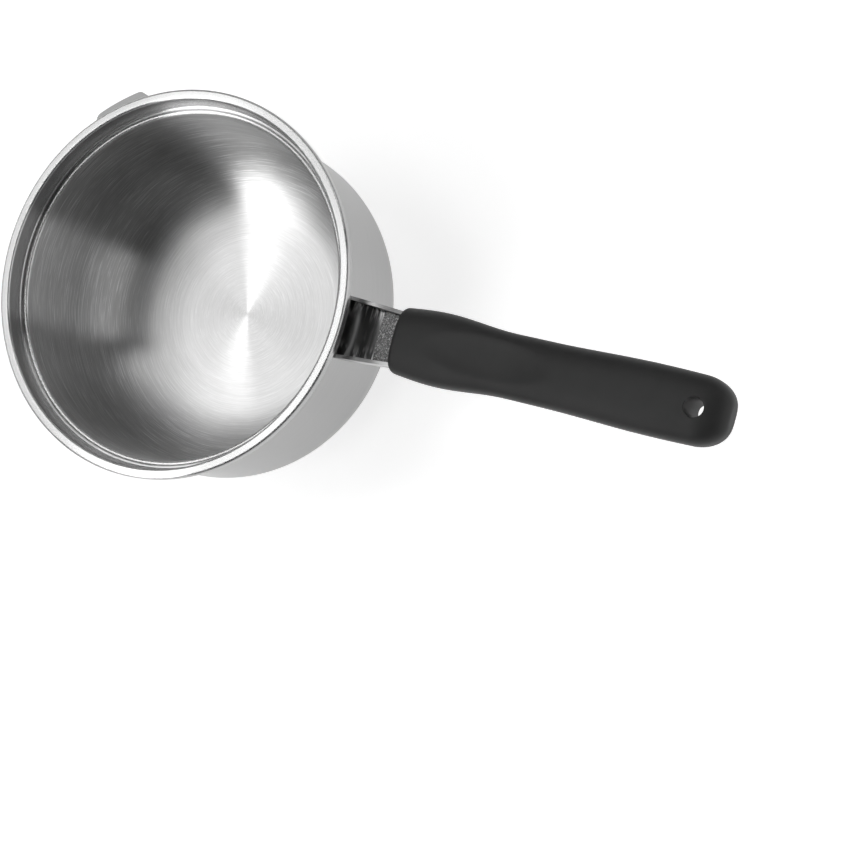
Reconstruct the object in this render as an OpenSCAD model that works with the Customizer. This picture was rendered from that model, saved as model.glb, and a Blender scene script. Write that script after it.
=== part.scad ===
// Double-walled simmering pot. A drawn bowl hangs by its lid seat in an outer shell. Water goes between
// the two through a pocket on the side, which a whistling flap closes, and the handle is a welded channel
// with a moulded grip.
// Millimetres, +Z up. The origin is the centre of the base's underside, and the handle points along +X.

/* [Bowl] */
// Inside diameter of the bowl just under the lid seat
bowl_d = 160; // [130:1:220]
// Depth from the top of the lip to the bowl's floor
bowl_depth = 78.8; // [70:0.2:110]
// How far the bowl's wall leans in on each side on its way down
bowl_draft = 1.5; // [0.5:0.1:4]
// Inside radius of the corner between the bowl's wall and its floor
bowl_corner_r = 26; // [20:0.5:34]
// Thickness of the sheet that bowl, shell and pocket are drawn from
sheet = 0.8; // [0.6:0.1:1]

/* [Lid seat and lip] */
// Depth of the bead's sharp corner, before it is rounded, under the top of the lip
seat_depth = 7.2; // [6:0.1:12]
// Width from the bowl's wall to the bottom of the groove that the lid's rim sits in
seat_w = 3.9; // [3.7:0.1:5]
// How much lower the groove is than the bead beside it
seat_fall = 2.8; // [2.5:0.1:3.5]
// How far the seat's wall leans out up to the lip
seat_flare = 1.1; // [0.5:0.1:2]
// Rounding of the bead on the inside
bead_r = 1.3; // [1:0.05:1.4]
// Rounding of the groove on the inside
groove_r = 1.2; // [0.8:0.05:1.3]
// Width of the rolled lip, seen from above
lip_w = 4; // [3.6:0.1:5]
// Height of the rolled lip
lip_h = 4.6; // [4:0.1:6]
// Rounding of the rolled lip
lip_r = 1.9; // [1.5:0.05:1.95]
// How far the rolled edge runs back under the lip
lip_tuck = 2.4; // [2.1:0.1:2.8]

/* [Shell and base] */
// Width of the water space between bowl and shell just under the lid seat
jacket_w = 2.4; // [2.2:0.1:2.7]
// Outside radius of the shell's bottom corner
shell_corner_r = 24; // [16:0.5:28]
// Height of the water space under the bowl
water_gap = 5.6; // [4:0.2:14]
// How far the heat-spreading disc ends inside the shell's wall
base_inset = 21.2; // [20:0.2:36]
// Thickness of the heat-spreading disc
base_disc_t = 4.4; // [3:0.1:7]
// Rounding of the disc's lower edge
base_edge_r = 2.4; // [1:0.1:2.8]
// Thickness of the steel cup that encloses the disc
base_cap_t = 0.6; // [0.4:0.1:1]
// Diameter of the water hole through the shell's wall, behind the pocket
shell_port_d = 14; // [8:0.5:18]

/* [Filler pocket] */
// Place of the pocket round the pot, counted from the handle
filler_angle = 127; // [90:1:180]
// Width of the pocket along the wall
pocket_w = 28; // [24:0.5:36]
// How far the pocket stands out from the shell
pocket_reach = 14.8; // [12:0.2:18]
// How far the pocket's top lies under the top of the lip
pocket_drop = 12; // [11:0.5:16]
// Height of the pocket's upright face
pocket_face_h = 29; // [29:0.5:34]
// Height of the slope that leads from the face back to the wall
pocket_slope_h = 9; // [4:0.5:12]
// Rounding of the pocket's upright edges
pocket_edge_r = 3.5; // [2:0.25:4]

/* [Filler mouth] */
// Clear diameter of the mouth
mouth_bore_d = 9.5; // [8:0.1:9.6]
// Wall of the mouth's tube
mouth_wall = 1.2; // [0.8:0.1:1.3]
// Diameter of the mouth's flange
mouth_flange_d = 16; // [15.2:0.1:17]
// Thickness of the flange and of the hinge plate above it
mouth_flange_t = 1.2; // [0.8:0.1:1.4]
// How far the tube's rim stands in front of the flange
mouth_rim_h = 2.4; // [2.4:0.1:3]
// How far the tube reaches back into the pocket
mouth_tail = 4; // [2:0.5:5]
// How far the middle of the mouth lies under the pocket's top
mouth_drop = 19.5; // [17:0.5:20]
// Diameter of the flat that is pressed into the pocket's face for the flange
pad_d = 18; // [17:0.2:19]
// How far the flat stands in front of the pocket's face
pad_rise = 0.25; // [0.1:0.05:0.5]

/* [Whistling flap] */
// Height of the hinge pin over the middle of the mouth
hinge_rise = 8.6; // [8.5:0.1:9.5]
// Diameter of the hinge pin
pin_d = 2; // [1.6:0.1:2.2]
// Gap all round the pin inside the flap's knuckle
pin_clearance = 0.05; // [0.02:0.01:0.1]
// Radius of the two ears that carry the pin
ear_r = 1.75; // [1.5:0.05:1.8]
// Thickness of each ear
ear_t = 1.6; // [1.2:0.1:2]
// Width of the flap's knuckle, strap and thumb tab
strap_w = 7.2; // [5:0.2:8]
// Gap between the knuckle and each ear
knuckle_side_gap = 0.1; // [0.05:0.05:0.3]
// Diameter of the flap's disc
flap_d = 15.2; // [14.2:0.1:15.6]
// Thickness of the flap's sheet
flap_t = 0.8; // [0.6:0.1:0.9]
// How far the knuckle's curl stands proud of the strap on each face
curl_rise = 0.1; // [0.05:0.01:0.12]
// Length of the thumb tab under the disc
tab_len = 5; // [3:0.5:7]
// How far the thumb tab bends away from the pot
tab_kick = 2.6; // [1:0.2:3.2]
// Thickness of the seal on the flap's back
gasket_t = 1; // [0.9:0.1:1.2]
// Width of the seal ring
gasket_w = 2.2; // [1.6:0.1:2.6]
// Clear diameter of the whistle's chamber
whistle_d = 6.4; // [5:0.1:6.8]
// Wall of the whistle's chamber
whistle_wall = 0.8; // [0.6:0.1:1]
// Length of the whistle's chamber in front of the flap
whistle_len = 3; // [2.5:0.1:3.2]
// Thickness of the two whistle discs
whistle_disc_t = 0.5; // [0.3:0.1:0.8]
// Diameter of the hole through each whistle disc
whistle_hole_d = 1.4; // [1:0.1:2]

/* [Handle bracket] */
// Rise of the handle over the level
handle_slope = 8; // [0:0.5:10]
// Depth of the bracket's floor, at the wall, under the top of the lip
bracket_drop = 22; // [20:0.5:28]
// Thickness of the bracket's sheet
bracket_t = 1.6; // [1.2:0.1:2]
// Outside width of the bracket at the wall
bracket_w = 28.2; // [26:0.2:28.6]
// How far each flange turns in towards the grip
bracket_taper = 3.5; // [2:0.25:4]
// Height of the flanges over the floor
flange_h = 10; // [8:0.25:10.5]
// Outside rounding of the bends between floor and flanges
bend_r = 3; // [2.2:0.1:3.5]
// Inside radius of the scoop between the wall and the floor
scoop_r = 9; // [5:0.5:9.5]
// Length of the bracket between the wall and the grip
bracket_bare = 29.6; // [27:0.2:40]
// How much lower the flanges are where they leave the wall
flange_step = 1.6; // [1:0.1:2.5]
// Length over which they rise from there to their full height
flange_run = 4.4; // [3:0.2:6]

/* [Tang] */
// Thickness of the tang
tang_t = 2.5; // [2:0.1:3]
// Distance from the wall to the front edge of the tang
tang_start = 17.2; // [15:0.2:23]
// Gap between the tang and each flange
tang_gap = 0.2; // [0.1:0.05:0.5]
// Width of the tang inside the grip
tang_tail_w = 14; // [10:0.5:16]
// Length of the tang inside the grip
tang_in = 58; // [50:1:80]

/* [Grip] */
// Length of the grip
grip_len = 150; // [130:1:170]
// Half of the grip's width at its neck and along its rear
neck_half_w = 13.6; // [13.5:0.1:15]
// How much wider each side is round the thumb rest
thumb_bulge = 2.3; // [1.5:0.1:3]
// How much wider each side is round the palm
palm_bulge = 0.9; // [0:0.1:2]
// Height of the grip's top over the bracket's floor
grip_rise = 13.4; // [13:0.1:15]
// Depth of the grip's underside below the bracket's floor
grip_sink = 5.6; // [5:0.1:7]
// How much the top and the underside draw in at the neck
neck_dip = 1.4; // [0:0.1:1.8]
// How far the grip's end sags below a straight line
grip_sag = 6; // [0:0.5:10]
// Rounding of the grip's front edge
front_edge_r = 2.6; // [1.5:0.1:3]
// Length over which the rear end rounds off
end_round = 13; // [10:0.5:16]
// Depth of the thumb rest
thumb_depth = 1.2; // [0.5:0.1:1.8]
// Length of the thumb rest
thumb_len = 62; // [30:1:80]
// Width of the thumb rest
thumb_w = 20; // [14:0.5:22]
// Gap between the grip and the bracket in the socket
socket_gap = 0.2; // [0.1:0.05:0.3]
// How deep the bracket sits in the grip
socket_depth = 12; // [8:0.5:16]
// Diameter of the hanging hole
hang_d = 8; // [5:0.5:10]
// Distance of the hanging hole from the grip's rear end
hang_inset = 13; // [12.5:0.5:18]

/* [Handle screw] */
// Diameter of the screw's shank
screw_d = 5; // [4:0.5:6]
// Diameter of the screw's head
screw_head_d = 8.4; // [7.4:0.1:9]
// Height of the screw's head
screw_head_h = 2.4; // [2:0.1:2.6]
// Distance of the screw behind the grip's front
screw_inset = 33; // [26:1:44]
// Play round the shank and the head in the grip
screw_play = 0.2; // [0.1:0.05:0.4]
// How far the head lies inside the grip
screw_sink = 0.4; // [0.2:0.1:0.8]

/* [Hidden] */
// How far cutting solids run past what they cut
over = 1;
// Distance that is past everything on the pot
far = 300;
// Turn of one facet on small and on large roundings
small_turn = 15;
large_turn = 4;
large_r = 10;
// Facets of each rounded upright edge of the pocket, and of half of its curved face
pocket_steps = 6;
// Smoothness of round solids
$fn = 96;

bowl_r = bowl_d / 2;
shell_side = bowl_r + jacket_w;
shell_r = shell_side + sheet;
base_r = shell_r - base_inset;
shell_z = base_cap_t + base_disc_t;
floor_z = shell_z + sheet + water_gap + sheet;
lip_z = floor_z + bowl_depth;

// The inside of the bowl from its centre to the end of the rolled lip, before rounding
groove_x = bowl_r + seat_w;
groove_z = lip_z - seat_depth - seat_fall;
seat_top_x = groove_x + seat_flare;
lip_x = seat_top_x + lip_w;
bowl_path = [
    [0, floor_z],
    [bowl_r - bowl_draft, floor_z],
    [bowl_r, lip_z - seat_depth],
    [groove_x, groove_z],
    [seat_top_x, lip_z],
    [lip_x, lip_z],
    [lip_x, lip_z - lip_h],
    [lip_x - lip_tuck, lip_z - lip_h],
];
bowl_radii = [0, bowl_corner_r, bead_r, groove_r, lip_r, lip_r, lip_r, 0];
groove_index = 3;

// The shell's top edge touches the underside of the groove
shell_top = centre(bowl_path, groove_index, groove_r)[1] - groove_r - sheet;
shell_path = [[0, shell_z + sheet], [shell_side, shell_z + sheet], [shell_side, shell_top]];
shell_radii = [0, shell_corner_r - sheet, 0];

// Filler pocket, mouth and flap, with x out from the pot's axis
pocket_r = shell_r + pocket_reach;
pocket_z = lip_z - pocket_drop;
mouth_z = pocket_z - mouth_drop;
pad_x = pocket_r + pad_rise;
flange_x = pad_x + mouth_flange_t;
rim_x = flange_x + mouth_rim_h;
flap_x = rim_x + gasket_t;
strap_stand = pin_d / 2 + pin_clearance + curl_rise;
knuckle_r = strap_stand + flap_t + curl_rise;
pin_x = flap_x - strap_stand;
pin_z = mouth_z + hinge_rise;
mouth_r = mouth_bore_d / 2 + mouth_wall;
ear_y = strap_w / 2 + knuckle_side_gap;
hinge_w = 2 * (ear_y + ear_t);
pin_head_t = ear_t / 4;
flap_r = flap_d / 2;

// Handle, in the handle's own frame: x along it from the wall, z up from the bracket's floor
floor_drop_z = lip_z - bracket_drop;
bracket_end = bracket_bare + socket_depth;
grip_end = bracket_bare + grip_len;
tang_end = bracket_bare + tang_in;
screw_x = bracket_bare + screw_inset;
hang_x = grip_end - hang_inset;
// Places and lengths of the grip's forms, as shares of its length
thumb_start_share = 0.1;
thumb_x = bracket_bare + grip_len * thumb_start_share + thumb_len / 2;
thumb_place_share = 0.136;
thumb_reach_share = 0.233;
palm_place_share = 0.78;
palm_reach_share = 0.3;
neck_place_share = 0.38;
neck_reach_share = 0.28;
// How square the grip's cross-section is, and how much of its size is left at the rear tip
squareness = 3;
tip_share = 0.28;
grip_rings = 48;
grip_sides = 44;

// Unit vector, and the unit vector a quarter turn to the right of a direction
function unit(v) = v / norm(v);
function right(v) = [unit(v)[1], -unit(v)[0]];
function turned(v, a) = [v[0] * cos(a) - v[1] * sin(a), v[0] * sin(a) + v[1] * cos(a)];
// Signed turn of a path at point i, positive to the left
function turn(p, i) =
    let (a = p[i] - p[i - 1], b = p[i + 1] - p[i])
    atan2(a[0] * b[1] - a[1] * b[0], a * b);
// Centre of the rounding of radius r at point i of a path
function centre(p, i, r) =
    let (a = unit(p[i] - p[i - 1]), t = turn(p, i))
    p[i] - a * r * tan(abs(t) / 2) - right(a) * r * sign(t);
// A path with its corners rounded, each by its own radius
function rounded(p, radii) = [
    for (i = [0 : len(p) - 1])
        if (i == 0 || i == len(p) - 1 || radii[i] <= 0) p[i]
        else
            let (t = turn(p, i), c = centre(p, i, radii[i]))
            let (start = right(p[i] - p[i - 1]) * radii[i] * sign(t))
            let (n = max(2, ceil(abs(t) / (radii[i] > large_r ? large_turn : small_turn))))
            each [for (k = [0 : n]) c + turned(start, t * k / n)]
];
// A path moved to its right by d, and the radii that keep its roundings parallel
function moved(p, d) = [
    for (i = [0 : len(p) - 1])
        let (a = right(i > 0 ? p[i] - p[i - 1] : p[1] - p[0]))
        let (b = right(i < len(p) - 1 ? p[i + 1] - p[i] : p[i] - p[i - 1]))
        p[i] + 2 * d * (a + b) / ((a + b) * (a + b))
];
function moved_radii(p, radii, d) = [
    for (i = [0 : len(p) - 1])
        radii[i] <= 0 ? 0 : radii[i] + d * sign(turn(p, i))
];
function reversed(p) = [for (i = [len(p) - 1 : -1 : 0]) p[i]];

// Cross-section of a sheet of thickness t on the right of a path
module sheet_section(p, radii, t)
    polygon(concat(rounded(p, radii), reversed(rounded(moved(p, t), moved_radii(p, radii, t)))));

module inner_pot()
    color("gainsboro") rotate_extrude() sheet_section(bowl_path, bowl_radii, sheet);

module at_filler() rotate([0, 0, filler_angle]) children();

// A cylinder of radius r that lies along x from x0 to x1 at height z
module along_x(r, x0, x1, z) translate([x0, 0, z]) rotate([0, 90, 0]) cylinder(r = r, h = x1 - x0);

module outer_shell()
    color("silver") difference() {
        rotate_extrude() sheet_section(shell_path, shell_radii, sheet);
        at_filler() along_x(shell_port_d / 2, shell_side - sheet * 4, pocket_r, mouth_z);
    }

module base_disc()
    color("lightgray") rotate_extrude()
        polygon(concat(
            rounded(
                [[0, base_cap_t], [base_r, base_cap_t], [base_r, shell_z]],
                [0, base_edge_r, 0]
            ),
            [[0, shell_z]]
        ));

module base_cap()
    color("silver") rotate_extrude()
        sheet_section(
            [[0, base_cap_t], [base_r, base_cap_t], [base_r, shell_z]],
            [0, base_edge_r, 0],
            base_cap_t
        );

// Plan of the pocket with its wall set in by d: an arc round the pot's axis with rounded corners
module pocket_plan(d) {
    r = pocket_edge_r - d;
    y = pocket_w / 2 - pocket_edge_r;
    a = asin(y / (pocket_r - pocket_edge_r));
    x = (pocket_r - pocket_edge_r) * cos(a);
    edge = [
        for (k = [0 : pocket_steps])
            let (b = a + (90 - a) * k / pocket_steps)
            [x + r * cos(b), y + r * sin(b)]
    ];
    half_face = [
        for (k = [0 : pocket_steps - 1])
            let (b = a * k / pocket_steps)
            (pocket_r - d) * [cos(b), sin(b)]
    ];
    half = concat(half_face, edge, [[0, y + r]]);
    other_half = [for (i = [len(half) - 1 : -1 : 1]) [half[i][0], -half[i][1]]];
    polygon(concat(other_half, half));
}

// The pocket's outer form, or with d its hollow
module pocket_form(d) {
    top = pocket_z - d;
    low = pocket_z - pocket_face_h;
    slope = atan2(pocket_slope_h, pocket_reach);
    lift = d / cos(slope);
    intersection() {
        linear_extrude(top) pocket_plan(d);
        translate([0, pocket_w, 0]) rotate([90, 0, 0]) linear_extrude(2 * pocket_w)
            polygon([
                [0, top],
                [pocket_r + pocket_reach, top],
                [pocket_r + pocket_reach, low + pocket_slope_h + lift],
                [shell_r - pocket_reach, low - pocket_slope_h + lift],
                [0, low - pocket_slope_h + lift],
            ]);
    }
}

module filler_pocket()
    color("silver") at_filler() difference() {
        union() {
            pocket_form(0);
            along_x(pad_d / 2, pocket_r - sheet * 2, pad_x, mouth_z);
        }
        difference() {
            pocket_form(sheet);
            along_x(pad_d / 2 + over, pad_x - sheet - 2 * pad_rise, pad_x, mouth_z);
        }
        along_x(mouth_r, pocket_r - pocket_reach, pad_x + over, mouth_z);
        cylinder(r = shell_r, h = lip_z);
    }

// The mouth's tube, its flange and the hinge plate with two ears, turned from one casting
module filler_mouth()
    color("gainsboro") at_filler() difference() {
        union() {
            along_x(mouth_r, pad_x - mouth_tail, rim_x, mouth_z);
            along_x(mouth_flange_d / 2, pad_x, flange_x, mouth_z);
            translate([pad_x, -hinge_w / 2, mouth_z]) cube([mouth_flange_t, hinge_w, hinge_rise + ear_r]);
            for (s = [-1, 1])
                translate([pin_x, s * (ear_y + ear_t / 2), pin_z]) rotate([90, 0, 0]) {
                    cylinder(r = ear_r, h = ear_t, center = true);
                    translate([(pad_x - pin_x) / 2, 0, 0])
                        cube([pin_x - pad_x, 2 * ear_r, ear_t], center = true);
                }
        }
        along_x(mouth_bore_d / 2, pad_x - mouth_tail - over, rim_x + over, mouth_z);
        translate([pin_x, 0, pin_z]) rotate([90, 0, 0])
            cylinder(d = pin_d, h = hinge_w + 2 * over, center = true);
    }

module hinge_pin()
    color("dimgray") at_filler() translate([pin_x, 0, pin_z]) rotate([90, 0, 0]) {
        cylinder(d = pin_d, h = hinge_w, center = true);
        for (s = [-1, 1])
            translate([0, 0, s * (hinge_w + pin_head_t) / 2])
                cylinder(r = (pin_d / 2 + ear_r) / 2, h = pin_head_t, center = true);
    }

// The flap's disc, the strap that curls round the pin, the thumb tab and the whistle's chamber
module whistle_flap()
    color("silver") at_filler() difference() {
        tab_z = mouth_z - flap_r;
        union() {
            along_x(flap_r, flap_x, flap_x + flap_t, mouth_z);
            along_x(whistle_d / 2 + whistle_wall, flap_x, flap_x + flap_t + whistle_len, mouth_z);
            translate([0, strap_w / 2, 0]) rotate([90, 0, 0]) linear_extrude(strap_w)
                sheet_section(
                    [
                        [flap_x, pin_z],
                        [flap_x, tab_z],
                        [flap_x + tab_kick, tab_z - tab_len],
                    ],
                    [0, flap_t * 2, 0],
                    -flap_t
                );
            translate([pin_x, 0, pin_z]) rotate([90, 0, 0])
                cylinder(r = knuckle_r, h = strap_w, center = true);
        }
        along_x(whistle_d / 2, flap_x - over, flap_x + flap_t + whistle_len + over, mouth_z);
        translate([pin_x, 0, pin_z]) rotate([90, 0, 0])
            cylinder(r = pin_d / 2 + pin_clearance, h = strap_w + 2 * over, center = true);
    }

module flap_gasket()
    color("whitesmoke") at_filler() difference() {
        along_x(mouth_r + gasket_w / 4, rim_x, flap_x, mouth_z);
        along_x(mouth_r - gasket_w * 3 / 4, rim_x - over, flap_x + over, mouth_z);
    }

module whistle_disc(x)
    color("lightgray") at_filler() difference() {
        along_x(whistle_d / 2, x, x + whistle_disc_t, mouth_z);
        along_x(whistle_hole_d / 2, x - over, x + whistle_disc_t + over, mouth_z);
    }

module whistle_front_disc()
    whistle_disc(flap_x + flap_t + whistle_len - 2 * whistle_disc_t);

module whistle_back_disc()
    whistle_disc(flap_x);

module in_handle() translate([shell_r, 0, floor_drop_z]) rotate([0, -handle_slope, 0]) children();

// A bar along the handle with tapered sides and rounded lower edges: half width w, from z0 to z1
module tapered_bar(w, z0, z1, r, x0, x1)
    intersection_for (s = [-1, 1])
        translate([0, s * w, 0]) rotate([90, 0, 90 - s * bracket_taper]) translate([0, 0, x0])
            linear_extrude(x1 - x0)
                polygon(concat(
                    rounded([[-s * w * 4, z0], [0, z0], [0, z1]], [0, r, 0]),
                    [[-s * w * 4, z1]]
                ));

// The space above the bracket's sheet, as the scoop's profile turned round the pot's axis by scoop_turn
scoop_turn = 60;
scoop_path = [
    [shell_r + bracket_t, lip_z],
    [shell_r + bracket_t, floor_drop_z + bracket_t * tan(handle_slope)],
    [far, floor_drop_z + (far - shell_r) * tan(handle_slope)],
];
scoop_radii = [0, scoop_r, 0];
module over_scoop(d)
    rotate([0, 0, -scoop_turn / 2]) rotate_extrude(angle = scoop_turn)
        polygon(concat(
            rounded(moved(scoop_path, d), moved_radii(scoop_path, scoop_radii, d)),
            [[far, far], [shell_r + bracket_t - d, far]]
        ));

module handle_bracket() {
    color("silver") difference() {
        intersection() {
            in_handle() bracket_block(0);
            over_scoop(bracket_t);
        }
        intersection() {
            in_handle() bracket_hollow(0, -scoop_r);
            over_scoop(0);
        }
        in_handle() bracket_hollow(0, tang_start - tang_gap);
    }
}

// Outside of the channel with its flanges' side view, and the channel's hollow from x0 on. With a gap
// the outside grows and the hollow shrinks.
module bracket_block(gap)
    intersection() {
        tapered_bar(
            bracket_w / 2 + gap, -bracket_t - gap, flange_h + gap, bend_r + gap, -scoop_r, bracket_end + gap
        );
        translate([0, bracket_w, 0]) rotate([90, 0, 0]) linear_extrude(2 * bracket_w)
            polygon(concat(
                [[-scoop_r, -scoop_r]],
                rounded(
                    [
                        [-scoop_r, flange_h - flange_step],
                        [bracket_t, flange_h - flange_step],
                        [bracket_t + flange_run, flange_h + gap],
                        [bracket_end + gap, flange_h + gap],
                    ],
                    [0, flange_run, flange_run, 0]
                ),
                [[bracket_end + gap, -scoop_r]]
            ));
    }

module bracket_hollow(gap, x0)
    tapered_bar(
        bracket_w / 2 - bracket_t - gap, gap, flange_h + scoop_r, bend_r - bracket_t, x0, bracket_end + over
    );

// The tang lies on the bracket's floor between the flanges and carries the grip
module tang_form(gap) {
    tapered_bar(
        bracket_w / 2 - bracket_t - tang_gap + gap, -gap, tang_t + gap, bend_r - bracket_t,
        tang_start, bracket_end + gap
    );
    translate([bracket_end - tang_t, -tang_tail_w / 2 - gap, -gap])
        cube([tang_end + gap - bracket_end + tang_t, tang_tail_w + 2 * gap, tang_t + 2 * gap]);
}

module handle_tang()
    color("gray") in_handle() difference() {
        tang_form(0);
        translate([screw_x, 0, -over]) cylinder(d = screw_d, h = tang_t + 2 * over);
    }

// Smooth bump of height 1 and half length 1
function bump(t) = abs(t) < 1 ? (1 + cos(180 * t)) / 2 : 0;
function along(x) = (x - bracket_bare) / grip_len;
function neck(x) = bump((along(x) - neck_place_share) / neck_reach_share);
function grip_half_w(x) =
    neck_half_w + thumb_bulge * bump((along(x) - thumb_place_share) / thumb_reach_share)
    + palm_bulge * bump((along(x) - palm_place_share) / palm_reach_share);
function grip_top(x) = grip_rise - neck_dip * neck(x);
function grip_low(x) = -grip_sink + neck_dip * neck(x);
function grip_sag_at(x) = -grip_sag * along(x) * along(x);
// Share of the full size that is left near the front edge and the rear end
function front_inset(x) =
    let (t = min(1, (x - bracket_bare) / front_edge_r)) front_edge_r * (1 - sqrt(1 - (1 - t) * (1 - t)));
function end_share(x) =
    let (t = max(0, 1 - (grip_end - x) / end_round)) tip_share + (1 - tip_share) * sqrt(max(0, 1 - t * t));
function power(v, e) = sign(v) * pow(abs(v), e);
function thumb_dip(x, y) =
    let (u = (x - thumb_x) * 2 / thumb_len, v = y * 2 / thumb_w, d = 1 - u * u - v * v)
    d > 0 ? thumb_depth * d * d * (3 - 2 * d) : 0;

// Ring places: close together at the front edge and the rear end, and even between them
edge_rings = 5;
end_rings = 9;
middle_rings = grip_rings - edge_rings - end_rings;
ring_x = concat(
    [for (k = [0 : edge_rings - 1]) bracket_bare + front_edge_r * (1 - cos(90 * k / edge_rings))],
    [
        for (k = [0 : middle_rings - 1])
            bracket_bare + front_edge_r + (grip_len - front_edge_r - end_round) * k / middle_rings
    ],
    [for (k = [0 : end_rings - 1]) grip_end - end_round + end_round * sin(90 * k / (end_rings - 1))]
);

function grip_point(x, a) =
    let (s = end_share(x), inset = front_inset(x), e = 2 / squareness)
    let (w = grip_half_w(x) * s - inset)
    let (half_h = (grip_top(x) - grip_low(x)) / 2 * s - inset, mid = (grip_top(x) + grip_low(x)) / 2)
    let (y = w * power(cos(a), e), z = mid + half_h * power(sin(a), e))
    [x, y, z + grip_sag_at(x) - (sin(a) > 0 ? thumb_dip(x, y) * sin(a) : 0)];

module grip_form() {
    rings = len(ring_x);
    n = grip_sides;
    points = [for (x = ring_x) for (j = [0 : n - 1]) grip_point(x, 360 * (j + 0.5) / n)];
    sides = [
        for (i = [0 : rings - 2]) for (j = [0 : n - 1])
            let (a = i * n + j, b = i * n + (j + 1) % n)
            each [[a, b + n, b], [a, a + n, b + n]]
    ];
    polyhedron(
        points,
        concat(sides, [[for (j = [0 : n - 1]) j], [for (j = [n - 1 : -1 : 0]) (rings - 1) * n + j]])
    );
}

// The seat of the screw's head, inside the grip's underside
head_z = grip_low(screw_x) + grip_sag_at(screw_x) + screw_sink + screw_head_h;

// The grip, with a socket that fits the channel's sheet all round, a slot for the tang, the screw's
// counterbore and the hanging hole
module grip()
    color([0.12, 0.12, 0.12]) in_handle() difference() {
        grip_form();
        difference() {
            bracket_block(socket_gap);
            bracket_hollow(socket_gap, -scoop_r);
        }
        tang_form(socket_gap);
        translate([screw_x, 0, -grip_sink * 2])
            cylinder(r = screw_d / 2 + screw_play, h = grip_sink * 2 + tang_t * 2);
        translate([screw_x, 0, -grip_sink * 2])
            cylinder(r = screw_head_d / 2 + screw_play, h = grip_sink * 2 + head_z);
        translate([hang_x, 0, grip_sag_at(hang_x)])
            cylinder(d = hang_d, h = 4 * grip_rise, center = true);
    }
module handle_screw()
    color("silver") in_handle() translate([screw_x, 0, head_z]) {
        cylinder(d = screw_d, h = tang_t - head_z);
        difference() {
            translate([0, 0, -screw_head_h]) cylinder(d = screw_head_d, h = screw_head_h);
            for (a = [0, 90])
                rotate([0, 0, a]) translate([0, 0, -screw_head_h])
                    cube([screw_d, screw_d / 5, screw_head_h], center = true);
        }
    }

inner_pot();
outer_shell();
base_disc();
base_cap();
filler_pocket();
filler_mouth();
hinge_pin();
whistle_flap();
flap_gasket();
whistle_front_disc();
whistle_back_disc();
handle_bracket();
handle_tang();
grip();
handle_screw();
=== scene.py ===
# Looks, light and camera of the double-walled pot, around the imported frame. Sizes are in millimetres
# here, as in the part's source, and every mesh is scaled to metres when it is made.
import math

import bmesh
import bpy
from mathutils import Matrix, Vector


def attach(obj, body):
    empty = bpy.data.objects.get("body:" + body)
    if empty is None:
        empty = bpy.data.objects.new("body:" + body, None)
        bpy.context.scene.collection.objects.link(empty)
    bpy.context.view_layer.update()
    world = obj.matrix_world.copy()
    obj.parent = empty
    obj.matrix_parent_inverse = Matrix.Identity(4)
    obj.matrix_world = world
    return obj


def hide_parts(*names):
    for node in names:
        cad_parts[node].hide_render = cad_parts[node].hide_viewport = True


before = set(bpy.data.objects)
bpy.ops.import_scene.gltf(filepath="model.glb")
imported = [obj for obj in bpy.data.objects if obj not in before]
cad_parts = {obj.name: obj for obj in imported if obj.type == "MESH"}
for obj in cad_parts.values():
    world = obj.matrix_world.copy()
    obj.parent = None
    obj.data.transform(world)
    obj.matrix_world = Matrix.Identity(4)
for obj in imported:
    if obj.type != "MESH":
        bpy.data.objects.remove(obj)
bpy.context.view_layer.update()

MM = 0.001

# The bowl's sizes that differ from the CAD model's: it has a corner of 26.0, a seat flare of 1.1, a lip
# width of 4.0, and 1.9 at the lip's inner and outer corner
BOWL_CORNER_R = 34.0
SEAT_FLARE = 0.4
LIP_W = 4.7
LIP_INNER_R = 1.2
LIP_OUTER_R = 1.3

# Sizes of the CAD model that the pieces here share
SHEET = 0.8
BOWL_R = 80.0
BOWL_DEPTH = 78.8
BOWL_DRAFT = 1.5
SEAT_DEPTH = 7.2
SEAT_W = 3.9
SEAT_FALL = 2.8
BEAD_R = 1.3
GROOVE_R = 1.2
LIP_H = 4.6
LIP_LOW_R = 1.9
LIP_TUCK = 2.4
SHELL_R = 83.2
SHELL_CORNER_R = 24.0
FLOOR_Z = 12.2
LIP_Z = FLOOR_Z + BOWL_DEPTH
SHELL_Z = 5.0
CAP_T = 0.6
BASE_R = 62.0
BASE_EDGE_R = 2.4
FILLER_ANGLE = math.radians(127)
PORT_R = 7.0
MOUTH_Z = 59.5
BRACKET_DROP = 22.0
BRACKET_BARE = 29.6
BRACKET_T = 1.6
BRACKET_W = 28.2
BRACKET_TAPER = math.radians(3.5)
HANDLE_SLOPE = math.radians(8)
NEAR = 0.1  # how close to the channel's inside a face counts as lying in it

# The grip's form, as in the part's source
GRIP_LEN = 150.0
GRIP_END = BRACKET_BARE + GRIP_LEN
NECK_HALF_W = 13.6
THUMB_BULGE = 2.3
PALM_BULGE = 0.9
GRIP_RISE = 13.4
GRIP_SINK = 5.6
NECK_DIP = 1.4
GRIP_SAG = 6.0
FRONT_EDGE_R = 2.6
END_ROUND = 13.0
TIP_SHARE = 0.28
SQUARENESS = 3.0
THUMB_DEPTH = 1.2
THUMB_LEN = 62.0
THUMB_W = 20.0
THUMB_START_SHARE = 0.1
THUMB_X = BRACKET_BARE + GRIP_LEN * THUMB_START_SHARE + THUMB_LEN / 2
THUMB_PLACE, THUMB_REACH = 0.136, 0.233
PALM_PLACE, PALM_REACH = 0.78, 0.3
NECK_PLACE, NECK_REACH = 0.38, 0.28
SCREW_FROM_FRONT = 33.0
SCREW_X = BRACKET_BARE + SCREW_FROM_FRONT
SCREW_HEAD_H = 2.4
SCREW_SINK = 0.4
SCREW_BORE_R = 4.4
SCREW_BORE_LEN = 20.0
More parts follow.
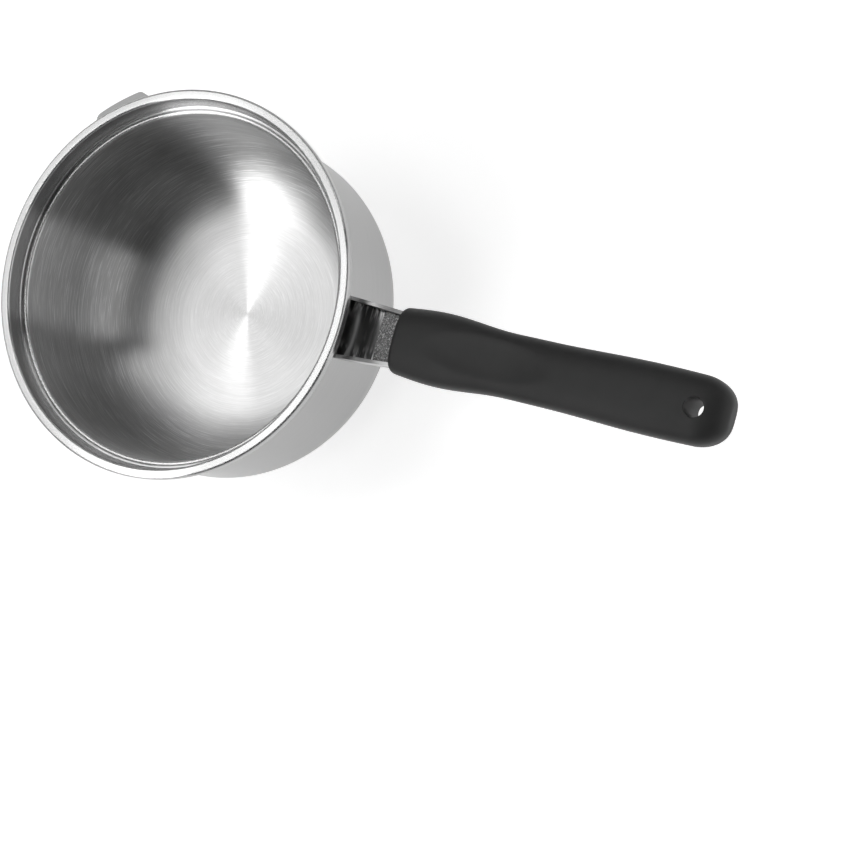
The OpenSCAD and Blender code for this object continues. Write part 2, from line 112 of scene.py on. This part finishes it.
HANG_R = 4.0
HANG_FROM_END = 13.0
HANG_X = GRIP_END - HANG_FROM_END

# Lengths of the cutters, long enough to go through the shell's sheet and through the grip
PORT_CUT = 4 * SHEET
HANG_CUT = 4 * GRIP_RISE

# How finely the meshes are divided, and which edges in them are sharp
TURN_SEGMENTS = 256
HOLE_SEGMENTS = 96
GRIP_SIDES = 160
FRONT_RINGS, BODY_RINGS, END_RINGS = 10, 150, 24
ARC_STEP = math.radians(3)
SEAM_ARC_STEP = math.radians(4)
BEVEL_SEGMENTS = 3
TURNED_SHARP = math.radians(35)
DRESSED_SHARP = math.radians(32)
GRIP_SHARP = math.radians(40)
FLAT_WITHIN = math.radians(1)
ON_AXIS = 1e-6
SAME_PLACE_M = 1e-6

# Heights between which the bowl's polish gives way to brushing, and how far up from its floor the bright
# strokes reach their full strength
POLISH_END = LIP_Z - 8.4
BRUSHING_START = LIP_Z - 9.4
STROKES_FULL = FLOOR_Z + 12

# Directions of the photograph's camera in the pot's frame, and its place
VIEW_RIGHT = Vector((0.901586, 0.262116, -0.344147))
VIEW_UP = Vector((-0.239031, 0.964908, 0.108705))
VIEW_BACK = Vector((0.360564, -0.015746, 0.932602))
VIEW_PLACE = Vector((367.3, -45.1, 670.2))
LENS_MM = 62.21
SENSOR_MM = 36.0
CLIP_NEAR_M, CLIP_FAR_M = 0.01, 20.0

# The studio: a pale floor, a low white wall all round that fades out upwards, and a dim ceiling with soft
# panels. Angles are in degrees. Each panel has its azimuth, elevation, half width, half height, roll and
# strength. The rolled one gives the fan of light on the bowl's floor its sharp edge.
FLOOR_HALF_WIDTH_M = 10.0
FLOOR_TONE = 0.8
FLOOR_GLOW = 0.6
WALL_FADE_START = 6.0
WALL_FADE_END = 22.0
CEILING_GLOW = 0.05
PANEL_SOFT = 1.5
PANELS = [
    (178, 66, 11, 11, 0, 4.2),
    (180, 37, 14, 16, 0, 0.4),
    (-127, 45, 9, 21, 49, 4.4),
    (12, 23, 24, 16, 0, 1.4),
    (101, 56, 26, 6, 0, 2.2),
]


def unit(v):
    return v.normalized()


def right_of(v):
    return Vector((v.y, -v.x)).normalized()


def turn_at(path, i):
    a = path[i] - path[i - 1]
    b = path[i + 1] - path[i]
    return math.atan2(a.x * b.y - a.y * b.x, a.dot(b))


def rounded(path, radii, step):
    """Points of a path whose corners are rounded, each by its own radius."""
    points = []
    last = len(path) - 1
    for i, p in enumerate(path):
        if i in (0, last) or radii[i] <= 0:
            points.append(p)
            continue
        turn = turn_at(path, i)
        side = math.copysign(1, turn)
        along = unit(p - path[i - 1])
        middle = p - along * radii[i] * math.tan(abs(turn) / 2) - right_of(along) * radii[i] * side
        start = right_of(along) * radii[i] * side
        count = max(3, math.ceil(abs(turn) / step))
        for k in range(count + 1):
            points.append(middle + Matrix.Rotation(turn * k / count, 2) @ start)
    return points


def moved(path, d):
    """A path moved to its right by d."""
    out = []
    last = len(path) - 1
    for i, p in enumerate(path):
        a = right_of(p - path[i - 1]) if i > 0 else right_of(path[1] - p)
        b = right_of(path[i + 1] - p) if i < last else a
        out.append(p + 2 * d * (a + b) / (a + b).dot(a + b))
    return out


def moved_radii(path, radii, d):
    return [
        r + d * math.copysign(1, turn_at(path, i)) if r > 0 else 0
        for i, r in enumerate(radii)
    ]


def make_object(name, mesh, material, body="pot"):
    ob = bpy.data.objects.new(name, mesh)
    bpy.context.scene.collection.objects.link(ob)
    mesh.materials.append(material)
    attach(ob, body)
    return ob


def revolve(name, outline):
    """Closed solid turned round the pot's axis. Outline points at radius zero become one point each."""
    bm = bmesh.new()
    rings = []
    for p in outline:
        if abs(p.x) < ON_AXIS:
            rings.append([bm.verts.new((0, 0, p.y * MM))])
            continue
        ring = []
        for k in range(TURN_SEGMENTS):
            a = 2 * math.pi * k / TURN_SEGMENTS
            ring.append(bm.verts.new((p.x * math.cos(a) * MM, p.x * math.sin(a) * MM, p.y * MM)))
        rings.append(ring)
    count = len(rings)
    for i in range(count):
        a, b = rings[i], rings[(i + 1) % count]
        if len(a) == 1 and len(b) == 1:
            continue
        for k in range(TURN_SEGMENTS):
            n = (k + 1) % TURN_SEGMENTS
            if len(a) == 1:
                bm.faces.new((a[0], b[n], b[k]))
            elif len(b) == 1:
                bm.faces.new((a[k], a[n], b[0]))
            else:
                bm.faces.new((a[k], a[n], b[n], b[k]))
    bmesh.ops.recalc_face_normals(bm, faces=bm.faces)
    mesh = bpy.data.meshes.new(name)
    bm.to_mesh(mesh)
    bm.free()
    mesh.shade_smooth()
    mesh.set_sharp_from_angle(angle=TURNED_SHARP)
    return mesh


def bowl_path():
    """Inner and upper side of the bowl's sheet, from its centre out to the lip's tucked edge."""
    groove_x = BOWL_R + SEAT_W
    seat_x = groove_x + SEAT_FLARE
    lip_x = seat_x + LIP_W
    path = [
        (0, FLOOR_Z), (BOWL_R - BOWL_DRAFT, FLOOR_Z), (BOWL_R, LIP_Z - SEAT_DEPTH),
        (groove_x, LIP_Z - SEAT_DEPTH - SEAT_FALL), (seat_x, LIP_Z), (lip_x, LIP_Z),
        (lip_x, LIP_Z - LIP_H), (lip_x - LIP_TUCK, LIP_Z - LIP_H),
    ]
    radii = [0, BOWL_CORNER_R, BEAD_R, GROOVE_R, LIP_INNER_R, LIP_OUTER_R, LIP_LOW_R, 0]
    return [Vector(p) for p in path], radii


def sheet_outline(path, radii, t):
    """Closed outline of a sheet of thickness t that lies to the right of a path."""
    inner = rounded(path, radii, ARC_STEP)
    outer = rounded(moved(path, t), moved_radii(path, radii, t), ARC_STEP)
    return inner + outer[::-1]


class Nodes:
    """Short way to build the nodes of a material or of the world."""

    def __init__(self, owner):
        owner.use_nodes = True
        self.owner = owner
        self.tree = owner.node_tree

    def add(self, kind, settings=None, **inputs):
        node = self.tree.nodes.new(kind)
        for key, value in (settings or {}).items():
            setattr(node, key, value)
        for key, value in inputs.items():
            self.put(node, key.replace("_", " "), value)
        return node

    def put(self, node, key, value):
        socket = node.inputs[int(key)] if key.isdigit() else node.inputs[key]
        if isinstance(value, bpy.types.NodeSocket):
            self.tree.links.new(value, socket)
        else:
            socket.default_value = value

    def shader(self, **inputs):
        for key, value in inputs.items():
            self.put(self.tree.nodes["Principled BSDF"], key.replace("_", " "), value)
        return self.owner

    def math(self, operation, a, b=0.0):
        return self.add("ShaderNodeMath", {"operation": operation}, **{"0": a, "1": b}).outputs[0]

    def line(self, value, slope, start):
        """The value times slope, plus start."""
        return self.math("ADD", self.math("MULTIPLY", value, slope), start)

    def ramp(self, value, low, high):
        """From 0 at low to 1 at high, whichever is larger."""
        node = self.add("ShaderNodeMapRange", {"interpolation_type": "SMOOTHSTEP"}, Value=value)
        node.inputs["From Min"].default_value = low
        node.inputs["From Max"].default_value = high
        return node.outputs[0]

    def mix(self, share, a, b):
        node = self.add("ShaderNodeMix", {"data_type": "FLOAT"}, **{"0": share})
        self.put(node, "2", a)
        self.put(node, "3", b)
        return node.outputs[0]


def polar(m):
    """Sockets of the direction round the pot's axis, as a unit vector, and of radius and height in mm."""
    geometry = m.add("ShaderNodeTexCoord")
    split = m.add("ShaderNodeSeparateXYZ", Vector=geometry.outputs["Object"])
    flat = m.add("ShaderNodeCombineXYZ", X=split.outputs["X"], Y=split.outputs["Y"])
    length = m.add("ShaderNodeVectorMath", {"operation": "LENGTH"}, **{"0": flat.outputs[0]})
    around = m.add("ShaderNodeVectorMath", {"operation": "NORMALIZE"}, **{"0": flat.outputs[0]})
    radius = m.math("MULTIPLY", length.outputs["Value"], 1 / MM)
    height = m.math("MULTIPLY", split.outputs["Z"], 1 / MM)
    return around.outputs["Vector"], radius, height


def brushing(m, around, along, line_mm, arcs, detail=3.0):
    """Noise drawn out round the pot's axis: lines about line_mm apart, broken into a few arcs."""
    spread = m.add("ShaderNodeVectorMath", {"operation": "SCALE"}, **{"0": around, "Scale": arcs})
    lift = m.add("ShaderNodeCombineXYZ", Z=m.math("MULTIPLY", along, 1 / line_mm))
    place = m.add(
        "ShaderNodeVectorMath", {"operation": "ADD"}, **{"0": spread.outputs[0], "1": lift.outputs[0]}
    )
    noise = m.add("ShaderNodeTexNoise", Vector=place.outputs[0], Scale=1.0, Detail=detail, Roughness=0.6)
    return noise.outputs["Fac"]


def bowl_steel():
    """Steel brushed in rings inside the bowl, and polished on the lid seat and the lip."""
    m = Nodes(bpy.data.materials.new("bowl_steel"))
    around, radius, height = polar(m)
    along = m.math("ADD", radius, height)
    fine = brushing(m, around, along, 0.4, 1.8, 4.0)
    broad = brushing(m, around, along, 3.0, 0.8, 1.0)
    strokes = m.ramp(brushing(m, around, along, 0.35, 4.5, 2.0), 0.52, 0.68)
    strokes = m.math("MULTIPLY", strokes, m.mix(m.ramp(height, FLOOR_Z, STROKES_FULL), 0.25, 1.0))
    brushed = m.ramp(height, POLISH_END, BRUSHING_START)
    lit = m.math("ADD", m.math("MULTIPLY", fine, 0.3), m.math("MULTIPLY", strokes, 0.3))
    worn = m.math("MULTIPLY", lit, brushed)
    plain = m.math("ADD", m.math("MULTIPLY", broad, 0.06), m.mix(brushed, 0.42, 0.35))
    tone = m.math("ADD", worn, plain)
    rough = m.mix(brushed, 0.24, m.line(fine, 0.12, 0.27))
    tangent = m.add("ShaderNodeTangent", {"direction_type": "RADIAL", "axis": "Z"})
    lines = m.math("MULTIPLY", m.math("ADD", fine, m.math("MULTIPLY", broad, 0.5)), brushed)
    bump = m.add("ShaderNodeBump", Height=lines, Strength=0.25, Distance=0.00006)
    return m.shader(
        Base_Color=grey(m, tone), Metallic=1.0, Roughness=rough, Anisotropic=1.0,
        Anisotropic_Rotation=0.25, Tangent=tangent.outputs[0], Normal=bump.outputs[0],
    )


def shell_steel():
    """Satin steel of the shell, drawn and lightly brushed round the pot."""
    m = Nodes(bpy.data.materials.new("shell_steel"))
    around, radius, height = polar(m)
    along = m.math("SUBTRACT", height, radius)
    fine = brushing(m, around, along, 0.35, 2.5)
    tone = m.line(fine, 0.1, 0.4)
    rough = m.line(fine, 0.1, 0.31)
    tangent = m.add("ShaderNodeTangent", {"direction_type": "RADIAL", "axis": "Z"})
    bump = m.add("ShaderNodeBump", Height=fine, Strength=0.15, Distance=0.00003)
    return m.shader(
        Base_Color=grey(m, tone), Metallic=1.0, Roughness=rough, Anisotropic=0.9,
        Anisotropic_Rotation=0.25, Tangent=tangent.outputs[0], Normal=bump.outputs[0],
    )


def pocket_steel_painted_shade():
    """The shell's satin steel on the filler pocket, with an even grain, in a darker tone than the shell
    as painted shade, which dims the bright panel that its upward top reflects.
    """
    m = Nodes(bpy.data.materials.new("pocket_steel_painted_shade"))
    grain = cloud(m, 900.0, 4.0, 0.65)
    rough = m.line(grain, 0.1, 0.36)
    # The tone is darker than the shell's steel, as painted shade
    tone = m.line(grain, 0.08, 0.28)
    bump = m.add("ShaderNodeBump", Height=grain, Strength=0.15, Distance=0.00003)
    return m.shader(Base_Color=grey(m, tone), Metallic=1.0, Roughness=rough, Normal=bump.outputs[0])


def grip_plastic():
    """Black moulded plastic with a fine satin grain and faint clouds of wear."""
    m = Nodes(bpy.data.materials.new("grip_plastic"))
    grain = cloud(m, 2500.0, 4.0, 0.6)
    wear = m.line(cloud(m, 30.0, 4.0, 0.7), 0.014, 0.009)
    bump = m.add("ShaderNodeBump", Height=grain, Strength=0.4, Distance=0.00005)
    return m.shader(
        Base_Color=grey(m, wear), Roughness=0.52, Specular_IOR_Level=0.33, Normal=bump.outputs[0],
    )


def shell_path():
    """Inner side of the shell's sheet, from its centre up to the underside of the lid seat's groove."""
    path, radii = bowl_path()
    top = rounded(path, radii, SEAM_ARC_STEP)
    lowest = min(p.y for p in top if abs(p.x - (BOWL_R + SEAT_W)) < SEAT_W / 2)
    side = SHELL_R - SHEET
    return (
        [Vector((0, SHELL_Z + SHEET)), Vector((side, SHELL_Z + SHEET)), Vector((side, lowest - SHEET))],
        [0, SHELL_CORNER_R - SHEET, 0],
    )


def cap_path():
    """Inner side of the base's cup, from its centre up to its open edge."""
    return (
        [Vector((0, CAP_T)), Vector((BASE_R, CAP_T)), Vector((BASE_R, SHELL_Z))],
        [0, BASE_EDGE_R, 0],
    )


def dressed(node, name, material, body="pot", bevel_mm=0.2):
    """Copy of a CAD node's mesh with its sharp edges rounded, which stands for the node."""
    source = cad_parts[node]
    bm = bmesh.new()
    bm.from_mesh(source.data)
    bmesh.ops.transform(bm, matrix=source.matrix_world, verts=bm.verts)
    bmesh.ops.remove_doubles(bm, verts=bm.verts, dist=SAME_PLACE_M)
    bmesh.ops.dissolve_limit(bm, angle_limit=FLAT_WITHIN, verts=bm.verts, edges=bm.edges)
    mesh = bpy.data.meshes.new(name)
    bm.to_mesh(mesh)
    bm.free()
    mesh.materials.clear()
    mesh.shade_smooth()
    mesh.set_sharp_from_angle(angle=DRESSED_SHARP)
    ob = make_object(name, mesh, material, body)
    bevel = ob.modifiers.new("rounding", "BEVEL")
    bevel.width = bevel_mm * MM
    bevel.segments = BEVEL_SEGMENTS
    bevel.limit_method = "ANGLE"
    bevel.angle_limit = DRESSED_SHARP
    bevel.harden_normals = True
    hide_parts(node)
    return ob


def bump_at(t):
    """Smooth hump, 1 at t = 0 and 0 from t = 1 outwards."""
    return (1 + math.cos(math.pi * t)) / 2 if abs(t) < 1 else 0.0


def power(v, e):
    """Power of v that keeps its sign."""
    return math.copysign(abs(v) ** e, v)


def grip_point(x, a):
    """Point of the grip's skin in the handle's frame, at x along the handle and the turn a round it."""
    along = (x - BRACKET_BARE) / GRIP_LEN
    neck = bump_at((along - NECK_PLACE) / NECK_REACH)
    half_w = (
        NECK_HALF_W + THUMB_BULGE * bump_at((along - THUMB_PLACE) / THUMB_REACH)
        + PALM_BULGE * bump_at((along - PALM_PLACE) / PALM_REACH)
    )
    top = GRIP_RISE - NECK_DIP * neck
    low = -GRIP_SINK + NECK_DIP * neck
    t = min(1, (x - BRACKET_BARE) / FRONT_EDGE_R)
    inset = FRONT_EDGE_R * (1 - math.sqrt(1 - (1 - t) ** 2))
    t = max(0, 1 - (GRIP_END - x) / END_ROUND)
    share = TIP_SHARE + (1 - TIP_SHARE) * math.sqrt(max(0, 1 - t * t))
    w = half_w * share - inset
    half_h = (top - low) / 2 * share - inset
    e = 2 / SQUARENESS
    y = w * power(math.cos(a), e)
    z = (top + low) / 2 + half_h * power(math.sin(a), e) - GRIP_SAG * along * along
    if math.sin(a) > 0:
        d = 1 - ((x - THUMB_X) * 2 / THUMB_LEN) ** 2 - (y * 2 / THUMB_W) ** 2
        if d > 0:
            z -= THUMB_DEPTH * d * d * (3 - 2 * d) * math.sin(a)
    return Vector((x, y, z))


def in_handle(p):
    """From the handle's frame, in mm, to the pot's frame, in metres."""
    turn = Matrix.Rotation(-HANDLE_SLOPE, 3, "Y")
    return (turn @ p + Vector((SHELL_R, 0, LIP_Z - BRACKET_DROP))) * MM


def out_of_handle(p):
    """From the pot's frame, in metres, to the handle's frame, in mm."""
    turn = Matrix.Rotation(HANDLE_SLOPE, 3, "Y")
    return turn @ (Vector(p) / MM - Vector((SHELL_R, 0, LIP_Z - BRACKET_DROP)))


def grip_mesh():
    """The grip's closed skin, as rings along the handle that lie closer at its rounded ends."""
    front, end = BRACKET_BARE + FRONT_EDGE_R, GRIP_END - END_ROUND
    xs = [
        BRACKET_BARE + FRONT_EDGE_R * (1 - math.cos(math.radians(90 * k / FRONT_RINGS)))
        for k in range(FRONT_RINGS)
    ]
    xs += [front + (end - front) * k / BODY_RINGS for k in range(BODY_RINGS)]
    xs += [end + END_ROUND * math.sin(math.radians(90 * k / END_RINGS)) for k in range(END_RINGS + 1)]
    turns = [2 * math.pi * (j + 0.5) / GRIP_SIDES for j in range(GRIP_SIDES)]
    bm = bmesh.new()
    rings = [[bm.verts.new(in_handle(grip_point(x, a))) for a in turns] for x in xs]
    for a, b in zip(rings, rings[1:]):
        for j in range(GRIP_SIDES):
            n = (j + 1) % GRIP_SIDES
            bm.faces.new((a[j], b[j], b[n], a[n]))
    bm.faces.new(rings[0])
    bm.faces.new(rings[-1])
    bmesh.ops.recalc_face_normals(bm, faces=bm.faces)
    mesh = bpy.data.meshes.new("grip")
    bm.to_mesh(mesh)
    bm.free()
    mesh.shade_smooth()
    mesh.set_sharp_from_angle(angle=GRIP_SHARP)
    return mesh


def drill(ob, radius_mm, place, axis, length_mm):
    """Cut a round hole into a piece, with its middle at a place in metres, and delete the cutter."""
    bm = bmesh.new()
    bmesh.ops.create_cone(
        bm, cap_ends=True, segments=HOLE_SEGMENTS, radius1=radius_mm * MM, radius2=radius_mm * MM,
        depth=length_mm * MM,
    )
    turn = Vector((0, 0, 1)).rotation_difference(axis).to_matrix().to_4x4()
    bmesh.ops.transform(bm, matrix=Matrix.Translation(place) @ turn, verts=bm.verts)
    mesh = bpy.data.meshes.new("cutter")
    bm.to_mesh(mesh)
    bm.free()
    cutter = bpy.data.objects.new("cutter", mesh)
    bpy.context.scene.collection.objects.link(cutter)
    cut = ob.modifiers.new("hole", "BOOLEAN")
    cut.operation = "DIFFERENCE"
    cut.solver = "EXACT"
    cut.object = cutter
    graph = bpy.context.evaluated_depsgraph_get()
    result = bpy.data.meshes.new_from_object(ob.evaluated_get(graph))
    ob.modifiers.remove(cut)
    ob.data = result
    bpy.data.objects.remove(cutter)


def cloud(m, scale, detail=3.0, roughness=0.6, stretch=None):
    """Noise in the pot's own space, in grains per metre, each axis scaled by stretch."""
    place = m.add("ShaderNodeTexCoord").outputs["Object"]
    if stretch:
        place = m.add(
            "ShaderNodeVectorMath", {"operation": "MULTIPLY"}, **{"0": place, "1": stretch}
        ).outputs[0]
    noise = m.add("ShaderNodeTexNoise", Vector=place, Scale=scale, Detail=detail, Roughness=roughness)
    return noise.outputs["Fac"]


def grey(m, value):
    """Colour socket of a grey tone."""
    return m.add("ShaderNodeCombineColor", Red=value, Green=value, Blue=value).outputs[0]


def channel_steel_painted_shade():
    """The bracket's steel inside its channel, made dark as painted shade, with pale draw marks across it
    that are faint in the middle and brightened towards the flanges as painted reflections of them.
    """
    m = Nodes(bpy.data.materials.new("channel_steel_painted_shade"))
    marks = cloud(m, 90.0, 2.0, 0.5, (8.0, 1.2, 1.0))
    place = m.add("ShaderNodeSeparateXYZ", Vector=m.add("ShaderNodeTexCoord").outputs["Object"])
    off_centre = m.math("ABSOLUTE", place.outputs["Y"])
    # Pale marks grow brighter towards the flanges as painted reflections of them, over a dark base tone
    # that is painted shade
    flange_reflection_share = m.ramp(off_centre, BRACKET_W * MM * 0.15, BRACKET_W * MM * 0.4)
    marks_and_flange_reflections = m.math("MULTIPLY", m.ramp(marks, 0.44, 0.68), m.line(flange_reflection_share, 0.9, 0.1))
    tone = m.line(marks_and_flange_reflections, 0.75, 0.15)
    rough = m.line(marks_and_flange_reflections, 0.2, 0.32)
    bump = m.add("ShaderNodeBump", Height=marks, Strength=0.06, Distance=0.0001)
    return m.shader(Base_Color=grey(m, tone), Metallic=1.0, Roughness=rough, Normal=bump.outputs[0])


def tang_steel():
    """Blasted steel with a coarse sparkling grain."""
    m = Nodes(bpy.data.materials.new("tang_steel"))
    grain = cloud(m, 1600.0, 4.0, 0.75)
    stain = cloud(m, 120.0, 2.0)
    sparkle = m.math("MULTIPLY", m.ramp(grain, 0.48, 0.66), 0.34)
    tone = m.math("ADD", m.math("ADD", sparkle, m.math("MULTIPLY", stain, 0.06)), 0.07)
    bump = m.add("ShaderNodeBump", Height=grain, Strength=0.6, Distance=0.0002)
    return m.shader(Base_Color=grey(m, tone), Metallic=1.0, Roughness=0.5, Normal=bump.outputs[0])


def fitting_steel():
    """Turned and tumbled steel of the small fittings."""
    m = Nodes(bpy.data.materials.new("fitting_steel"))
    grain = cloud(m, 700.0, 3.0, 0.6)
    rough = m.line(grain, 0.12, 0.24)
    tone = m.line(grain, 0.1, 0.42)
    bump = m.add("ShaderNodeBump", Height=grain, Strength=0.04, Distance=0.00003)
    return m.shader(Base_Color=grey(m, tone), Metallic=1.0, Roughness=rough, Normal=bump.outputs[0])


def disc_aluminium():
    """Pale rolled aluminium of the disc inside the base."""
    m = Nodes(bpy.data.materials.new("disc_aluminium"))
    grain = cloud(m, 700.0, 4.0, 0.7)
    tone = m.line(grain, 0.1, 0.7)
    bump = m.add("ShaderNodeBump", Height=grain, Strength=0.2, Distance=0.00005)
    return m.shader(Base_Color=grey(m, tone), Metallic=1.0, Roughness=0.45, Normal=bump.outputs[0])


def silicone():
    """Pale, slightly cloudy silicone of the flap's seal."""
    m = Nodes(bpy.data.materials.new("silicone"))
    grain = cloud(m, 900.0, 2.0)
    tone = m.line(grain, 0.06, 0.62)
    return m.shader(Base_Color=grey(m, tone), Roughness=0.55)


BOWL_STEEL = bowl_steel()
SHELL_STEEL = shell_steel()
CHANNEL_STEEL_PAINTED_SHADE = channel_steel_painted_shade()
TANG_STEEL = tang_steel()
FITTING_STEEL = fitting_steel()
POCKET_STEEL_PAINTED_SHADE = pocket_steel_painted_shade()
GRIP_PLASTIC = grip_plastic()

path, radii = bowl_path()
mesh = revolve("bowl", sheet_outline(path, radii, SHEET))
bowl = make_object("bowl", mesh, BOWL_STEEL)
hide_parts("inner_pot")

path, radii = shell_path()
mesh = revolve("shell", sheet_outline(path, radii, SHEET))
shell = make_object("shell", mesh, SHELL_STEEL)
outward = Vector((math.cos(FILLER_ANGLE), math.sin(FILLER_ANGLE), 0))
drill(shell, PORT_R, (outward * SHELL_R + Vector((0, 0, MOUTH_Z))) * MM, outward, PORT_CUT)
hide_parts("outer_shell")

path, radii = cap_path()
mesh = revolve("base_cup", sheet_outline(path, radii, CAP_T))
cap = make_object("base_cup", mesh, SHELL_STEEL)
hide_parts("base_cap")

# The pocket's steel is darker than the shell's, as painted shade
dressed("filler_pocket", "pocket", POCKET_STEEL_PAINTED_SHADE, bevel_mm=0.35)
dressed("filler_mouth", "mouth", FITTING_STEEL, bevel_mm=0.15)
dressed("whistle_flap", "flap", FITTING_STEEL, "flap", bevel_mm=0.15)
dressed("hinge_pin", "pin", FITTING_STEEL, bevel_mm=0.1)
dressed("handle_tang", "tang", TANG_STEEL)
dressed("handle_screw", "screw", FITTING_STEEL)

# The bracket's faces inside its channel get a darker copy of its steel, with painted shade and painted
# reflections of the flanges
bracket = dressed("handle_bracket", "bracket", SHELL_STEEL, bevel_mm=0.3)
bracket.data.materials.append(CHANNEL_STEEL_PAINTED_SHADE)
for face in bracket.data.polygons:
    p = out_of_handle(face.center)
    half_w = BRACKET_W / 2 - p.x * math.tan(BRACKET_TAPER) - BRACKET_T
    if abs(p.y) < half_w + NEAR and p.z > -NEAR and p.x > BRACKET_T - NEAR:
        face.material_index = 1

grip = make_object("handle_grip", grip_mesh(), GRIP_PLASTIC)
handle_up = Vector((-math.sin(HANDLE_SLOPE), 0, math.cos(HANDLE_SLOPE)))
drill(grip, HANG_R, in_handle(Vector((HANG_X, 0, 0))), handle_up, HANG_CUT)
head_z = grip_point(SCREW_X, -math.pi / 2).z + SCREW_SINK + SCREW_HEAD_H
bore = in_handle(Vector((SCREW_X, 0, head_z - SCREW_BORE_LEN / 2)))
drill(grip, SCREW_BORE_R, bore, handle_up, SCREW_BORE_LEN)
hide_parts("grip")

# Nodes whose CAD solids stay, with materials of their own
CARRIED_OVER = {
    "base_disc": disc_aluminium(), "flap_gasket": silicone(),
    "whistle_front_disc": FITTING_STEEL, "whistle_back_disc": FITTING_STEEL,
}
for name, material in CARRIED_OVER.items():
    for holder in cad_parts[name].material_slots:
        holder.material = material


def place_camera():
    camera = bpy.data.cameras.new("camera")
    camera.lens = LENS_MM
    camera.sensor_width = SENSOR_MM
    camera.sensor_height = SENSOR_MM
    camera.clip_start = CLIP_NEAR_M
    camera.clip_end = CLIP_FAR_M
    ob = bpy.data.objects.new("camera", camera)
    axes = Matrix((VIEW_RIGHT, VIEW_UP, VIEW_BACK)).transposed()
    ob.matrix_world = Matrix.Translation(VIEW_PLACE * MM) @ axes.to_4x4()
    bpy.context.scene.collection.objects.link(ob)
    bpy.context.scene.camera = ob


def add_floor():
    """Wide pale floor. It glows for camera, glossy and transmission rays and keeps the pot's shadow."""
    bm = bmesh.new()
    bmesh.ops.create_grid(bm, x_segments=1, y_segments=1, size=FLOOR_HALF_WIDTH_M)
    mesh = bpy.data.meshes.new("floor")
    bm.to_mesh(mesh)
    bm.free()
    ob = bpy.data.objects.new("floor", mesh)
    bpy.context.scene.collection.objects.link(ob)
    m = Nodes(bpy.data.materials.new("floor"))
    rays = m.add("ShaderNodeLightPath").outputs
    seen = m.math("MAXIMUM", rays["Is Camera Ray"], rays["Is Glossy Ray"])
    seen = m.math("MAXIMUM", seen, rays["Is Transmission Ray"])
    mesh.materials.append(m.shader(
        Base_Color=(FLOOR_TONE, FLOOR_TONE, FLOOR_TONE, 1), Roughness=1.0, Specular_IOR_Level=0.0,
        Emission_Color=(1, 1, 1, 1), Emission_Strength=m.math("MULTIPLY", seen, FLOOR_GLOW),
    ))


def toward(azimuth, elevation):
    """Unit vector to a place in the studio, from its azimuth and elevation in degrees."""
    turn, rise = math.radians(azimuth), math.radians(elevation)
    return Vector((math.cos(turn) * math.cos(rise), math.sin(turn) * math.cos(rise), math.sin(rise)))


def soft_panel(m, direction, azimuth, elevation, half_width, half_height, roll, strength):
    """Light of a far, soft-edged panel, turned by roll about its middle. All its sizes are angles."""
    ahead = toward(azimuth, elevation)
    up = Matrix.Rotation(math.radians(roll), 3, ahead) @ toward(azimuth, elevation + 90)
    side = ahead.cross(up)

    def along(axis):
        return m.add("ShaderNodeVectorMath", {"operation": "DOT_PRODUCT"}, **{"0": direction, "1": axis})

    forward = m.math("MAXIMUM", along(ahead).outputs["Value"], 0.001)  # never zero, as it divides
    shares = [
        m.ramp(
            m.math("DIVIDE", m.math("ABSOLUTE", along(axis).outputs["Value"]), forward),
            math.tan(math.radians(half + PANEL_SOFT)), math.tan(math.radians(max(half - PANEL_SOFT, 0))),
        )
        for axis, half in ((side, half_width), (up, half_height))
    ]
    return m.math("MULTIPLY", m.math("MULTIPLY", shares[0], shares[1]), strength)


def light_studio():
    """White wall all round, low down, and a dim ceiling with soft panels. Camera rays see plain white."""
    world = bpy.data.worlds.new("studio")
    bpy.context.scene.world = world
    m = Nodes(world)
    direction = m.add("ShaderNodeTexCoord").outputs["Generated"]
    height = m.add("ShaderNodeSeparateXYZ", Vector=direction).outputs["Z"]
    fade = [math.sin(math.radians(angle)) for angle in (WALL_FADE_END, WALL_FADE_START)]
    wall = m.ramp(height, *fade)
    light = m.math("MAXIMUM", wall, CEILING_GLOW)
    for panel in PANELS:
        light = m.math("ADD", light, soft_panel(m, direction, *panel))
    seen = m.add("ShaderNodeLightPath").outputs["Is Camera Ray"]
    background = m.tree.nodes["Background"]
    m.put(background, "Color", (1, 1, 1, 1))
    m.put(background, "Strength", m.mix(seen, light, 1.0))


place_camera()
add_floor()
light_studio()
bpy.context.scene.view_settings.view_transform = "Standard"
